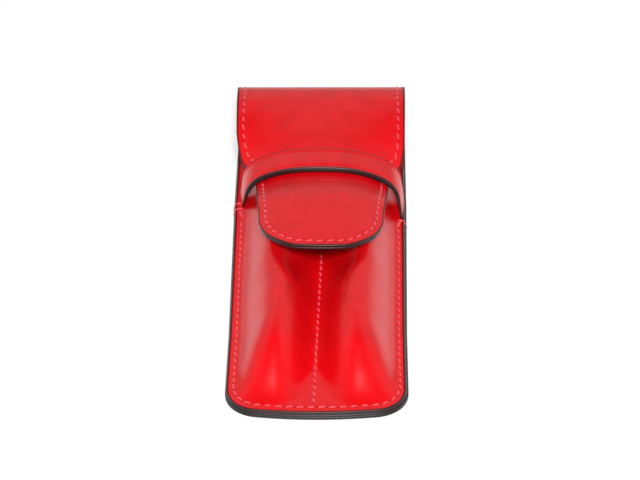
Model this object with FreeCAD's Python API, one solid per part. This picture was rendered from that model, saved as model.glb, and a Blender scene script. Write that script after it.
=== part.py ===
import FreeCAD, Part
import math
import os
from FreeCAD import Placement, Rotation, Vector

# Two-pocket leather pen case with a tuck-in flap, lying on its back.
# Millimetres. +X is the width, +Y runs from the bottom seam to the top fold and +Z points out of
# the front. The origin is under the middle of the case, on the surface that it lies on.
# The back and the flap are one strip of leather. It is cut here where the case bends: the back
# keeps the first part of the fold, "fold" is the middle of it and "flap" is the rest.

# Overall outline
LENGTH = 171.0            # bottom seam edge to the crest of the top fold
HALF_W = 29.9             # half width of the strip at the fold, and of the flap
HALF_W_CASE = 30.3        # half width over the pockets
HALF_W_LOW = 30.7         # half width just above the bottom corners
CORNER_R = 12.0           # bottom corners
BOW_R = 150.0             # bottom edge, slightly bowed
FLARE_FROM_BOTTOM = 45.0  # the sides flare below this
TAPER_FROM_BOTTOM = 120.0 # and taper above this
MOUTH_FROM_BOTTOM = 143.0 # pocket mouth, hidden under the flap

# Leather thicknesses
OUTER_T = 1.1
LINING_T = 0.8
POCKET_LINING_T = 0.4
FRONT_T = 1.0
STRAP_T = 2.0

# Top fold: a half round seen from the side
FOLD_R = 12.5
FOLD_LOWER_DEG = 45.0
FOLD_UPPER_DEG = 135.0
FOLD_END_DEG = 172.0

# Front, moulded over two pens. Each tube runs from the middle seam to the side seam, and its
# crest is nearer to the side seam at the mouth than at the closed end.
TUBE_INNER = 0.9
TUBE_OUTER = 26.0
TUBE_ROUND = 1.35         # 1 is an ellipse, more gives softer feet
TUBE_SEAM_GAP = 1.2       # the outer foot follows the corners of the case inside the seam
# (distance from bottom, height above the seam, distance of the crest from the middle)
TUBE_STATIONS = [
    (-3.0, 0.0, 11.0),
    (2.5, 0.0, 11.0),
    (4.8, 0.0, 11.0),
    (6.5, 0.9, 11.0),
    (9.5, 3.0, 11.0),
    (14.0, 6.0, 11.0),
    (22.0, 9.9, 11.0),
    (32.0, 12.9, 11.2),
    (42.0, 14.7, 11.9),
    (55.0, 15.8, 13.0),
    (70.0, 15.9, 14.2),
    (85.0, 15.1, 14.8),
    (100.0, 13.9, 14.8),
    (113.0, 12.9, 14.8),
    (127.0, 12.8, 14.8),
    (146.0, 12.8, 14.8),
]

# Flap cross-section: height falls from the middle as a power of the distance from it
CROWN_HALF = 23.0
CROWN_POWER = 2.75
# (distance from bottom, height of the middle, fall at CROWN_HALF)
FLAP_STATIONS = [
    (148.0, 23.6, 0.5),
    (138.0, 22.6, 2.2),
    (132.0, 21.9, 4.0),
    (127.0, 21.35, 5.4),
    (113.0, 21.2, 5.65),
    (95.0, 22.0, 4.0),
    (80.0, 22.9, 2.9),
    (64.0, 23.8, 2.2),
]

# Flap plan: full width, shoulders, tongue
TONGUE_X = 0.7            # the tongue sits slightly right of the middle
SHOULDER = [(29.9, 141.0), (29.2, 135.5), (27.6, 130.5), (25.2, 127.0), (23.9, 124.0)]
TONGUE_SIDE = (21.6, 88.0)
TONGUE_CORNER_MID = (18.1, 75.6)
TONGUE_CORNER_END = (9.5, 68.3)
TONGUE_TIP = 67.7

# Keeper strap
STRAP_LOW = 113.8
STRAP_HIGH = 126.2
STRAP_GAP = 0.28
STRAP_LEG = [(24.9, 14.9), (26.3, 11.9), (26.9, 8.0), (27.0, 5.5)]
STRAP_FOOT_THIN = 0.65    # the feet are pared down to this share of the thickness
STRAP_LEG_HEIGHT = 10.0   # the paring fades out over this height

# Sewing
PITCH = 3.6
STITCH_LEN = 2.7
THREAD_R = 0.26
CLEAR = 0.03
SEAM_INSET = 2.8
FLAP_INSET = 2.5
GROOVE_HALF = 0.45
GROOVE_DEPTH = 0.58
FOLD_GROOVE_DEPTH = 0.72

Y_BOTTOM = -LENGTH / 2
FOLD_Y = Y_BOTTOM + LENGTH - FOLD_R
BACK_T = OUTER_T + LINING_T
FRONT_BACK_Z = BACK_T + POCKET_LINING_T
SEAM_Z = FRONT_BACK_Z + FRONT_T


def up(from_bottom):
    """Y of a point given by its distance from the bottom edge."""
    return Y_BOTTOM + from_bottom


def export(node, shape):
    shape.exportStep("parts/" + node + ".step")


def spline(points):
    curve = Part.BSplineCurve()
    curve.interpolate(points)
    return curve.toShape()


def ring(outer, inner):
    """Closed section between two lines of edges, both running from left to right."""
    right = Part.makeLine(outer[-1].Vertexes[-1].Point, inner[-1].Vertexes[-1].Point)
    left = Part.makeLine(inner[0].Vertexes[0].Point, outer[0].Vertexes[0].Point)
    return Part.Wire(outer + [right] + inner[::-1] + [left])


# ---------------------------------------------------------------- outline of the case

def corner_center():
    """Centre of the right bottom corner, whose arc runs into the side and the bowed bottom."""
    cx = HALF_W_LOW - CORNER_R
    return cx, Y_BOTTOM + BOW_R - math.sqrt((BOW_R - CORNER_R) ** 2 - cx ** 2)


def half_width(y):
    """Half width of the case above the flare."""
    taper_y = up(TAPER_FROM_BOTTOM)
    share = min(1.0, max(0.0, (y - taper_y) / (FOLD_Y - taper_y)))
    return HALF_W_CASE + share * (HALF_W - HALF_W_CASE)


def outline_edges(inset, y_top, z):
    """Open outline of the case, moved in by inset, from the top right round to the top left."""
    bow_y = Y_BOTTOM + BOW_R
    cx, cy = corner_center()
    out = math.atan2(cy - bow_y, cx)
    corner_r = CORNER_R - inset
    bow_r = BOW_R - inset

    def corner(angle, side):
        return Vector(side * (cx + corner_r * math.cos(angle)), cy + corner_r * math.sin(angle), z)

    edges = []
    for side in (1, -1):
        line = [Vector(side * (half_width(y) - inset), y, z)
                for y in (y_top, up(TAPER_FROM_BOTTOM), up(FLARE_FROM_BOTTOM))]
        line.append(corner(0, side))
        half = [Part.makeLine(a, b) for a, b in zip(line, line[1:])]
        half.append(Part.Arc(line[-1], corner(out / 2, side), corner(out, side)).toShape())
        edges.append(half)
    bow = Part.Arc(corner(out, 1), Vector(0, bow_y - bow_r, z), corner(out, -1)).toShape()
    return edges[0] + [bow] + edges[1][::-1]


def inset_face(inset, y_top, z=0):
    """Plan of the case inside an outline moved in by inset."""
    edges = outline_edges(inset, y_top, z)
    top = half_width(y_top) - inset
    edges.append(Part.makeLine(Vector(-top, y_top, z), Vector(top, y_top, z)))
    return Part.Face(Part.Wire(Part.__sortEdges__(edges)))


def plate(z_low, z_high, y_top):
    """Flat layer of the case outline between two heights."""
    return inset_face(0, y_top, z_low).extrude(Vector(0, 0, z_high - z_low))


# ---------------------------------------------------------------- top fold

def fold_point(x, radius, angle_deg):
    """Point on the fold: 0 degrees is where it leaves the back, 180 is its highest line."""
    a = math.radians(angle_deg)
    return Vector(x, FOLD_Y + radius * math.sin(a), FOLD_R - radius * math.cos(a))


def fold_strip(depth_low, depth_high, start_deg, end_deg, x_low=-HALF_W, x_high=HALF_W):
    """Bent strip between two depths below the outer surface."""
    r_out = FOLD_R - depth_low
    r_in = FOLD_R - depth_high
    mid = (start_deg + end_deg) / 2
    wire = Part.Wire([
        Part.Arc(*[fold_point(x_low, r_out, a) for a in (start_deg, mid, end_deg)]).toShape(),
        Part.makeLine(fold_point(x_low, r_out, end_deg), fold_point(x_low, r_in, end_deg)),
        Part.Arc(*[fold_point(x_low, r_in, a) for a in (end_deg, mid, start_deg)]).toShape(),
        Part.makeLine(fold_point(x_low, r_in, start_deg), fold_point(x_low, r_out, start_deg)),
    ])
    return Part.Face(wire).extrude(Vector(x_high - x_low, 0, 0))


def fold_grooves(start_deg, end_deg):
    """Stitching grooves along both side edges of the fold."""
    return [
        fold_strip(-0.5, FOLD_GROOVE_DEPTH, start_deg, end_deg, x - GROOVE_HALF, x + GROOVE_HALF)
        for x in (-HALF_W + SEAM_INSET, HALF_W - SEAM_INSET)
    ]


# ---------------------------------------------------------------- front

def outer_foot(from_bottom):
    """Distance of a tube's outer foot from the middle seam."""
    cx, cy = corner_center()
    below = cy - up(from_bottom)
    if below < 0:
        return TUBE_OUTER
    radius = CORNER_R - SEAM_INSET - TUBE_SEAM_GAP
    return min(TUBE_OUTER, cx + math.sqrt(max(radius ** 2 - below ** 2, 4.0)))


def front_section(from_bottom, height, crest, depth):
    """Cross-section of the front from left to right, a given depth below its outer surface."""
    inner = TUBE_INNER + depth
    outer = outer_foot(from_bottom) - depth
    rim = HALF_W_LOW + 1
    y = up(from_bottom)
    z = SEAM_Z - depth

    def flat(x0, x1):
        return Part.makeLine(Vector(x0, y, z), Vector(x1, y, z))

    def tube(side):
        points = []
        for i in range(17):
            turn = math.pi * i / 16
            reach = (crest - inner) if i < 8 else (outer - crest)
            x = crest - reach * math.cos(turn)
            points.append(Vector(side * x, y, z + height * abs(math.sin(turn)) ** TUBE_ROUND))
        return spline(points[::side])

    return [
        flat(-rim, -outer),
        tube(-1),
        flat(-inner, inner),
        tube(1),
        flat(outer, rim),
    ]


def front_layer(depth_low, depth_high):
    """One skin of the front, open at the mouth and hollow over the two pockets."""
    wires = [
        ring(front_section(*station, depth_low), front_section(*station, depth_high))
        for station in TUBE_STATIONS
    ]
    skin = Part.makeLoft(wires, True, False)
    outline = plate(-5, 45, up(MOUTH_FROM_BOTTOM))
    return skin.common(outline).Solids[0]


# ---------------------------------------------------------------- flap

def crown_z(x, middle, fall):
    return middle - fall * (abs(x) / CROWN_HALF) ** CROWN_POWER


def crown_slope(x, fall):
    return fall * CROWN_POWER / CROWN_HALF * (abs(x) / CROWN_HALF) ** (CROWN_POWER - 1)


def flap_section(station, depth):
    """Cross-section of the flap at one station, a given depth below the outer surface."""
    y, middle, fall, lean_deg = station
    lean = math.radians(lean_deg)
    half = HALF_W + 1.0
    points = []
    for i in range(-8, 9):
        x = half * i / 8
        down = depth * math.hypot(1, crown_slope(x, fall))
        z = crown_z(x, middle, fall) - down * math.cos(lean)
        points.append(Vector(x, y - down * math.sin(lean), z))
    return [spline(points)]


def flap_loft(depth_low, depth_high):
    """Free-form part of the flap between two depths, wider than the plan."""
    end = fold_point(0, FOLD_R, FOLD_END_DEG)
    stations = [(end.y, end.z, 0.0, 180 - FOLD_END_DEG)]
    stations += [(up(s[0]), s[1], s[2], 0.0) for s in FLAP_STATIONS]
    wires = [ring(flap_section(s, depth_low), flap_section(s, depth_high)) for s in stations]
    return Part.makeLoft(wires, True, False)


def flap_plan_edges():
    """Open plan outline of the flap from the fold round the tongue and back to the fold."""
    end_y = FOLD_Y + FOLD_R
    halves = []
    for side in (1, -1):
        def at(point, side=side):
            near_tongue = min(1.0, max(0.0, (141.0 - point[1]) / 17.0))
            return Vector(side * point[0] + TONGUE_X * near_tongue, up(point[1]), 0)

        halves.append([
            Part.makeLine(Vector(side * HALF_W, end_y, 0), at(SHOULDER[0])),
            spline([at(p) for p in SHOULDER]),
            Part.makeLine(at(SHOULDER[-1]), at(TONGUE_SIDE)),
            Part.Arc(at(TONGUE_SIDE), at(TONGUE_CORNER_MID), at(TONGUE_CORNER_END)).toShape(),
        ])
    corners = [h[-1].Vertexes[-1].Point for h in halves]
    tip = Part.Arc(corners[0], Vector(TONGUE_X, up(TONGUE_TIP), 0), corners[1]).toShape()
    return halves[0] + [tip] + halves[1][::-1]


def flap_plan_prism():
    edges = flap_plan_edges()
    end_y = FOLD_Y + FOLD_R
    edges.append(Part.makeLine(Vector(-HALF_W, end_y, 0), Vector(HALF_W, end_y, 0)))
    face = Part.Face(Part.Wire(Part.__sortEdges__(edges)))
    return face.extrude(Vector(0, 0, 40))


def flap_layer(depth_low, depth_high, prism):
    bent = fold_strip(depth_low, depth_high, FOLD_UPPER_DEG, FOLD_END_DEG)
    shape = bent.fuse(flap_loft(depth_low, depth_high).common(prism))
    return shape.removeSplitter().Solids[0]


# ---------------------------------------------------------------- sewing

def stitch_template():
    """One stitch along X: a short rod of thread with round ends."""
    half = STITCH_LEN / 2 - THREAD_R
    bend = THREAD_R * math.sqrt(0.5)
    wire = Part.Wire([
        Part.Arc(Vector(-half - THREAD_R, 0, 0), Vector(-half - bend, bend, 0),
                 Vector(-half, THREAD_R, 0)).toShape(),
        Part.makeLine(Vector(-half, THREAD_R, 0), Vector(half, THREAD_R, 0)),
        Part.Arc(Vector(half, THREAD_R, 0), Vector(half + bend, bend, 0),
                 Vector(half + THREAD_R, 0, 0)).toShape(),
        Part.makeLine(Vector(half + THREAD_R, 0, 0), Vector(-half - THREAD_R, 0, 0)),
    ])
    return Part.Face(wire).revolve(Vector(0, 0, 0), Vector(1, 0, 0), 360)


STITCH = stitch_template()


def always(point):
    return True


def clear_of_strap(point):
    """False where the strap lies on the leather."""
    return abs(point.y - up((STRAP_LOW + STRAP_HIGH) / 2)) > (STRAP_HIGH - STRAP_LOW) / 2 + 1.6


def stitches(points, keep=always):
    """A stitch on each step between the given needle holes."""
    out = []
    for start, end in zip(points, points[1:]):
        middle = (start + end) * 0.5
        if not keep(middle):
            continue
        rod = STITCH.copy()
        rod.Placement = Placement(middle, Rotation(Vector(1, 0, 0), end - start))
        out.append(rod)
    return out


def needle_holes(wire):
    count = int(round(wire.Length / PITCH))
    return wire.discretize(Number=count + 1)


def perimeter_holes(z, y_top):
    return needle_holes(Part.Wire(Part.__sortEdges__(outline_edges(SEAM_INSET, y_top, z))))


def fold_holes(x, depth, start_deg, end_deg):
    """Needle holes along the fold, a given depth below its outer surface."""
    radius = FOLD_R - depth
    step = PITCH / FOLD_R
    count = int(math.radians(end_deg - start_deg) / step)
    margin = (math.radians(end_deg - start_deg) - count * step) / 2
    first = math.radians(start_deg) + margin
    return [fold_point(x, radius, math.degrees(first + i * step)) for i in range(count + 1)]


def both_sides(make):
    """Stitch rows for the right and the left side edge."""
    out = []
    for x in (HALF_W - SEAM_INSET, -HALF_W + SEAM_INSET):
        out += make(x)
    return out


def flap_seam_plan():
    """Needle holes of the flap seam in plan, moved in from the edge."""
    wire = Part.Wire(Part.__sortEdges__(flap_plan_edges()))
    edge = wire.discretize(Number=400)
    if edge[0].x < 0:
        edge = edge[::-1]
    start_y = fold_point(0, FOLD_R, FOLD_END_DEG).y - 1.0
    inner = []
    for before, after in zip(edge, edge[1:]):
        along = (after - before).normalize()
        inward = Vector(along.y, -along.x, 0)
        point = (before + after) * 0.5 + inward * FLAP_INSET
        if point.y < start_y:
            inner.append(point)
    return needle_holes(Part.makePolygon(inner))


def on_flap(plan_points, outside):
    """Lift plan points onto the outer or inner skin of the flap, clear of it by the thread."""
    lift = (THREAD_R + CLEAR) * (1.3 if outside else 1.5)
    loft = flap_loft(0, BACK_T)
    skins = [f.Surface for f in loft.Faces if isinstance(f.Surface, Part.BSplineSurface)]
    out = []
    for p in plan_points:
        line = Part.Line(Vector(p.x, p.y, 0), Vector(p.x, p.y, 1))
        heights = [hit.Z for skin in skins for hit in line.intersectCS(skin)[0]]
        z = max(heights) + lift if outside else min(heights) - lift
        out.append(Vector(p.x, p.y, z))
    return out


# ---------------------------------------------------------------- strap

def strap_points(offset):
    """Strap line from the left foot over the flap to the right foot, moved out by offset. The
    feet are thinner."""
    _, middle, fall = FLAP_STATIONS[4]
    half = [(x, crown_z(x, middle, fall) + STRAP_GAP) for x in (0.0, 4.5, 9.0, 13.5, 17.5, 21.0)]
    half += STRAP_LEG
    line = [(-x, z) for x, z in half[:0:-1]] + half
    out = []
    for i, (x, z) in enumerate(line):
        x0, z0 = line[max(i - 1, 0)]
        x1, z1 = line[min(i + 1, len(line) - 1)]
        size = math.hypot(x1 - x0, z1 - z0)
        rise = min(1.0, (z - SEAM_Z) / STRAP_LEG_HEIGHT)
        away = offset * (STRAP_FOOT_THIN + (1 - STRAP_FOOT_THIN) * rise) / size
        out.append(Vector(x - away * (z1 - z0), up(STRAP_LOW), z + away * (x1 - x0)))
    return out


def keeper_strap():
    """Band over the tongue with both feet standing on the side flanges."""
    skins = []
    for offset in (0.0, STRAP_T):
        points = strap_points(offset)
        skins.append((spline(points), points[0], points[-1]))
    edges = [skins[0][0], skins[1][0]]
    for end in (1, 2):
        inner, outer = skins[0][end], skins[1][end]
        inner_foot = Vector(inner.x, inner.y, SEAM_Z)
        outer_foot = Vector(outer.x, outer.y, SEAM_Z)
        edges += [
            Part.makeLine(inner, inner_foot),
            Part.makeLine(inner_foot, outer_foot),
            Part.makeLine(outer_foot, outer),
        ]
    face = Part.Face(Part.Wire(Part.__sortEdges__(edges)))
    return face.extrude(Vector(0, STRAP_HIGH - STRAP_LOW, 0))


# ---------------------------------------------------------------- build

os.makedirs("parts", exist_ok=True)

# Back with the first part of the fold, and the grooves that its stitches lie in
back_panel = plate(0, OUTER_T, FOLD_Y).fuse(fold_strip(0, OUTER_T, 0, FOLD_LOWER_DEG))
groove = inset_face(SEAM_INSET - GROOVE_HALF, FOLD_Y).cut(inset_face(SEAM_INSET + GROOVE_HALF, FOLD_Y + 5))
groove = groove.extrude(Vector(0, 0, GROOVE_DEPTH))
center_low = up(5.0)
center_high = up(MOUTH_FROM_BOTTOM - 3.0)
center_groove = Part.makeBox(2 * GROOVE_HALF, center_high - center_low + 2, GROOVE_DEPTH,
                             Vector(-GROOVE_HALF, center_low - 1, 0))
back_panel = back_panel.cut([groove, center_groove] + fold_grooves(0, FOLD_LOWER_DEG + 5))
export("back_panel", back_panel.removeSplitter())

back_lining = plate(OUTER_T, BACK_T, FOLD_Y).fuse(fold_strip(OUTER_T, BACK_T, 0, FOLD_LOWER_DEG))
export("back_lining", back_lining.removeSplitter())

# Front with its own thin lining
export("front_panel", front_layer(0, FRONT_T))
export("front_lining", front_layer(FRONT_T, FRONT_T + POCKET_LINING_T))

# Middle of the fold
fold_leather = fold_strip(0, OUTER_T, FOLD_LOWER_DEG, FOLD_UPPER_DEG)
fold_leather = fold_leather.cut(fold_grooves(FOLD_LOWER_DEG - 5, FOLD_UPPER_DEG + 5))
export("fold_leather", fold_leather)
export("fold_lining", fold_strip(OUTER_T, BACK_T, FOLD_LOWER_DEG, FOLD_UPPER_DEG))

# Flap with its tongue
prism = flap_plan_prism()
flap_leather = flap_layer(0, OUTER_T, prism)
flap_leather = flap_leather.cut(fold_grooves(FOLD_UPPER_DEG - 5, FOLD_END_DEG))
flap_lining = flap_layer(OUTER_T, BACK_T, prism)
export("flap_leather", flap_leather)
export("flap_lining", flap_lining)

export("keeper_strap", keeper_strap())

# Seam round the pockets, front and back; the strap's feet cover it on both sides
mouth_y = up(MOUTH_FROM_BOTTOM) - 1.0
on_top = perimeter_holes(SEAM_Z + THREAD_R + CLEAR, mouth_y)
export("perimeter_thread_front", Part.makeCompound(stitches(on_top, clear_of_strap)))
below = perimeter_holes(THREAD_R + CLEAR, FOLD_Y - 0.5)
back_rows = stitches(below)
back_rows += both_sides(lambda x: stitches(fold_holes(x, THREAD_R + CLEAR, 2, FOLD_LOWER_DEG)))
export("perimeter_thread_back", Part.makeCompound(back_rows))

# Seam between the two pockets
for node, z in (("center_thread_front", SEAM_Z + THREAD_R + CLEAR),
                ("center_thread_back", THREAD_R + CLEAR)):
    line = Part.makeLine(Vector(0, center_low, z), Vector(0, center_high, z))
    export(node, Part.makeCompound(stitches(needle_holes(line))))

# Inside of the side seams above the pocket mouth
inner_depth = BACK_T + THREAD_R + CLEAR


def side_inner(x):
    line = Part.makeLine(Vector(x, up(MOUTH_FROM_BOTTOM) + 1.0, inner_depth),
                         Vector(x, FOLD_Y - 0.5, inner_depth))
    return (stitches(needle_holes(line))
            + stitches(fold_holes(x, inner_depth, 2, FOLD_LOWER_DEG)))


export("side_thread_inner", Part.makeCompound(both_sides(side_inner)))

# Side seams over the fold
for node, depth in (("fold_thread_outer", THREAD_R + CLEAR), ("fold_thread_inner", inner_depth)):
    rows = both_sides(
        lambda x, d=depth: stitches(fold_holes(x, d, FOLD_LOWER_DEG, FOLD_UPPER_DEG)))
    export(node, Part.makeCompound(rows))

# Seam round the flap and its tongue
seam_plan = flap_seam_plan()
for node, outside, depth, keep in (
        ("flap_thread_outer", True, THREAD_R + CLEAR, clear_of_strap),
        ("flap_thread_inner", False, inner_depth, always)):
    rows = stitches(on_flap(seam_plan, outside), keep)
    rows += both_sides(
        lambda x, d=depth: stitches(fold_holes(x, d, FOLD_UPPER_DEG, FOLD_END_DEG)))
    export(node, Part.makeCompound(rows))
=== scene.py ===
import math
import random

import bpy
import numpy as np
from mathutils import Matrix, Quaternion, Vector, kdtree, noise


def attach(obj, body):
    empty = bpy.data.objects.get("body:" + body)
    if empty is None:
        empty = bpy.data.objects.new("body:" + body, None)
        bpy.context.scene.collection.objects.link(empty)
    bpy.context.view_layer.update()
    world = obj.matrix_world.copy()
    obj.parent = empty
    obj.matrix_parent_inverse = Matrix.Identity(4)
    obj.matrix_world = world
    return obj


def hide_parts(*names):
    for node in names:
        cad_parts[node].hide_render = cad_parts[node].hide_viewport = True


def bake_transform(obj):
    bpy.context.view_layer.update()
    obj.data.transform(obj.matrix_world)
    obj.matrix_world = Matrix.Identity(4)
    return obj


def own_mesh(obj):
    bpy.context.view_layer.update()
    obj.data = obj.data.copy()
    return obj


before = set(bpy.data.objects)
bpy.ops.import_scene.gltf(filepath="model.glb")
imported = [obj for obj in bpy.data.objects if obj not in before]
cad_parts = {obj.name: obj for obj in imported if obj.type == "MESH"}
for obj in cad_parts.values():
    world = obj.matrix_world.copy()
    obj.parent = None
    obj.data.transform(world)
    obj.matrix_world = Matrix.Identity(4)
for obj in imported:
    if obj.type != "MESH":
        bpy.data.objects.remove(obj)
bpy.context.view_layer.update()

# A two-pocket leather pen case with a tuck-in flap, lying on its back. Lengths are millimetres and
# become metres when a mesh is made. "From bottom" is the distance from the bottom seam edge.
MM = 0.001
random.seed(7)


# ---------------------------------------------------------------- camera

def add_camera(azimuth, elevation, roll, aim, distance, lens):
    a, e = math.radians(azimuth), math.radians(elevation)
    back = Vector((math.sin(a) * math.cos(e), -math.cos(a) * math.cos(e), math.sin(e)))
    data = bpy.data.cameras.new("camera")
    data.lens = lens
    data.sensor_width = 36
    data.clip_start = 0.1
    data.clip_end = 20
    cam = bpy.data.objects.new("camera", data)
    cam.location = Vector(aim) * MM + back * distance * MM
    cam.rotation_mode = "QUATERNION"
    turn = Quaternion((0, 0, 1), math.radians(roll))
    cam.rotation_quaternion = (-back).to_track_quat("-Z", "Y") @ turn
    bpy.context.scene.collection.objects.link(cam)
    bpy.context.scene.camera = cam


add_camera(azimuth=1.0, elevation=35.4, roll=-0.6, aim=(0.3, 3.8, 10.0), distance=1666.9, lens=271)


# ---------------------------------------------------------------- sizes, mostly as in the CAD model

LENGTH = 171.0          # bottom seam edge to the crest of the CAD model's fold
HALF_W = 29.9           # half width of the strip at the fold and of the flap
HALF_W_CASE = 30.3      # half width over the pockets
HALF_W_LOW = 30.7       # half width just above the bottom corners
CORNER_R = 12.0         # bottom corners
BOW_R = 150.0           # bottom edge, slightly bowed
FLARE = 45.0            # the sides flare below this
TAPER = 120.0           # and taper above this
CORNER_X = HALF_W_LOW - CORNER_R
CORNER_Y = BOW_R - math.sqrt((BOW_R - CORNER_R) ** 2 - CORNER_X ** 2)
MOUTH = 143.0           # of the pockets

# Leather thicknesses
OUTER_T = 1.1
LINING_T = 0.8
BACK_T = OUTER_T + LINING_T
POCKET_LINING_T = 0.4
FRONT_T = 1.0
SEAM_Z = BACK_T + POCKET_LINING_T + FRONT_T
STRAP_T = 2.0
RIM = 0.32              # how far a rounded cut edge stands out

# Top fold: round below its crest, and fuller above it
FOLD_R = 12.5
FOLD_Y = LENGTH - FOLD_R
FOLD_OUT = 14.3
FOLD_FULLNESS = 0.87    # 1 is an ellipse, less is squarer
FLAP_Y = 155.3
FLAP_OUT = FOLD_Y + FOLD_OUT - FLAP_Y
FLAP_UP = 11.6

# Sewing
PITCH = 3.6
SEAM_INSET = 2.8
FLAP_INSET = 2.5
THREAD_R = 0.28
STITCH_SHARE = 0.60     # length of a stitch, as a share of the pitch
HOLE_LONG = 0.36
HOLE_WIDE = 0.25
HOLE_SIDES = 10

# Front: outer foot of each tube, how the mouth slants, and how far the side edges lean in
TUBE_OUTER = 26.0
TUBE_SEAM_GAP = 1.2
MOUTH_RIGHT = MOUTH + 0.5
MOUTH_LEFT = MOUTH + 4.0
LEAN_RIGHT = 0.9
LEAN_LEFT = 0.45

# Keeper strap and tongue
STRAP_LOW = 113.8
STRAP_HIGH = 126.2
STRAP_MIDDLE = (STRAP_LOW + STRAP_HIGH) / 2
STRAP_GAP = 0.28
CREASE_INSET = 2.0
CREASE_WIDTH = 0.26
TONGUE_X = 0.8          # the tongue sits slightly right of the middle
TONGUE_TIP = 67.7
TONGUE_TURN = [(21.7, 88.0), (18.1, 75.4), (9.0, 68.2)]     # on the arc of its corner
SHOULDER_LOW = 124
SHOULDER_HIGH = 141
CROWN_HALF = 23.0
CROWN_POWER = 2.75


def curve_through(table):
    """Smooth monotone curve through (position, value) pairs."""
    xs, ys = np.array(table, float).T
    step = np.diff(xs)
    rise = np.diff(ys) / step
    slope = np.zeros(len(xs))
    for i in range(1, len(xs) - 1):
        if rise[i - 1] * rise[i] > 0:
            w0, w1 = 2 * step[i] + step[i - 1], step[i] + 2 * step[i - 1]
            slope[i] = (w0 + w1) / (w0 / rise[i - 1] + w1 / rise[i])
    slope[0], slope[-1] = rise[0], rise[-1]

    def value(x):
        x = np.clip(np.asarray(x, float), xs[0], xs[-1])
        k = np.clip(np.searchsorted(xs, x) - 1, 0, len(xs) - 2)
        t = (x - xs[k]) / step[k]
        return ((1 + 2 * t) * (1 - t) ** 2 * ys[k] + t * (1 - t) ** 2 * step[k] * slope[k]
                + t * t * (3 - 2 * t) * ys[k + 1] + t * t * (t - 1) * step[k] * slope[k + 1])

    return value


# Each table gives values by the distance from the bottom edge.
# Height of a tube above the seam, and distance of its crest from the middle
tube_height = curve_through([
    (2, 0), (4.5, 0.25), (6.5, 1.1), (9.5, 3.2), (13, 6.2), (18, 10.0), (23, 13.0), (28, 14.6),
    (36, 15.5), (45, 15.9), (52, 16.0), (60, 15.7), (66, 15.2), (74, 14.6), (85, 13.6), (100, 12.4),
    (113, 11.6), (148, 11.5),
])
tube_crest = curve_through([
    (14, 13.6), (28, 14.0), (42, 13.2), (56, 13.4), (72, 15.4), (90, 15.6), (148, 14.2),
])
# Roundness of the side of a tube that faces the middle, and where that side ends
valley_bulge = curve_through([
    (10, 1.5), (25, 1.9), (40, 2.0), (55, 2.0), (66, 1.6), (76, 1.35), (148, 1.35),
])
valley_foot = curve_through([
    (5, 9.5), (9, 7.4), (14, 5.2), (20, 3.0), (26, 1.5), (32, 0.9), (148, 0.9),
])
# Half width of the flap's shoulder
shoulder_half_width = curve_through([
    (124, 24.0), (125.2, 24.3), (126.4, 25.5), (128.2, 27.3), (131, 28.5), (136, 29.5), (141, 29.9),
])
# Height of the flap's middle, and how much lower it is CROWN_HALF to the side
flap_middle = curve_through([
    (64, 22.9), (72, 23.3), (82, 23.5), (93, 23.5), (98, 23.35), (102, 22.85), (106, 22.0),
    (109.5, 21.3), (113, 21.05), (120, 21.2), (127, 21.35), (132, 21.9), (138, 22.7), (144, 23.3),
    (150, 23.85), (155.3, 24.1),
])
flap_fall = curve_through([
    (64, 2.2), (80, 2.9), (95, 4.0), (108, 5.3), (118, 5.65), (127, 5.4), (132, 4.0), (138, 2.2),
    (148, 0.5), (155.3, 0.0),
])


def to_y(from_bottom):
    return from_bottom - LENGTH / 2


def unit(vectors):
    return vectors / np.linalg.norm(vectors, axis=-1, keepdims=True)


# ---------------------------------------------------------------- outlines in plan

def run_along(line):
    """Distance along a line to each of its points."""
    return np.concatenate([[0], np.cumsum(np.linalg.norm(np.diff(line, axis=0), axis=1))])


def resample(points, count):
    """The same line with count equal steps."""
    points = np.asarray(points, float)
    run = run_along(points)
    at = np.linspace(0, run[-1], count + 1)
    return np.stack([np.interp(at, run, points[:, k]) for k in range(points.shape[1])], axis=1)


def arc(center, radius, start, end, count=40):
    angles = np.linspace(start, end, count + 1)
    return [(center[0] + radius * math.cos(a), center[1] + radius * math.sin(a)) for a in angles]


def half_width(y):
    return float(np.interp(y, [TAPER, FOLD_Y], [HALF_W_CASE, HALF_W]))


def case_half(inset, top):
    """Right half of the case outline, from its top to the corner's middle and on to the bow."""
    corner = (CORNER_X, CORNER_Y)
    out = math.atan2(CORNER_Y - BOW_R, CORNER_X)
    side = [(half_width(top) - inset, top), (HALF_W_CASE - inset, TAPER),
            (HALF_W_CASE - inset, FLARE)]
    side += arc(corner, CORNER_R - inset, 0, out / 2)
    bottom = arc(corner, CORNER_R - inset, out / 2, out)
    bottom += arc((0, BOW_R), BOW_R - inset, out, -math.pi / 2)[1:]
    return side, bottom


def patch(left, right, bottom, count_x, count_y):
    """Grid of plan points inside a left, a right and a bottom line. The top is straight."""
    left, right = resample(left, count_y), resample(right, count_y)
    low = resample(bottom, count_x)
    high = resample([left[0], right[0]], count_x)
    u = np.linspace(0, 1, count_x + 1)[None, :, None]
    v = np.linspace(0, 1, count_y + 1)[:, None, None]
    sides = (1 - u) * left[:, None] + u * right[:, None]
    ends = (1 - v) * high[None] + v * low[None]
    corners = ((1 - v) * ((1 - u) * high[0] + u * high[-1])
               + v * ((1 - u) * low[0] + u * low[-1]))
    return sides + ends - corners


def mirrored(points):
    return [(-x, y) for x, y in points]


def case_patch(inset, top, spacing, top_left=None):
    side, bottom = case_half(inset, top)
    left, _ = case_half(inset, top_left or top)
    across = mirrored(bottom) + bottom[::-1][1:]
    return patch(mirrored(left), side, across,
                 round(2 * HALF_W / spacing), round(top / spacing))


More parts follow.
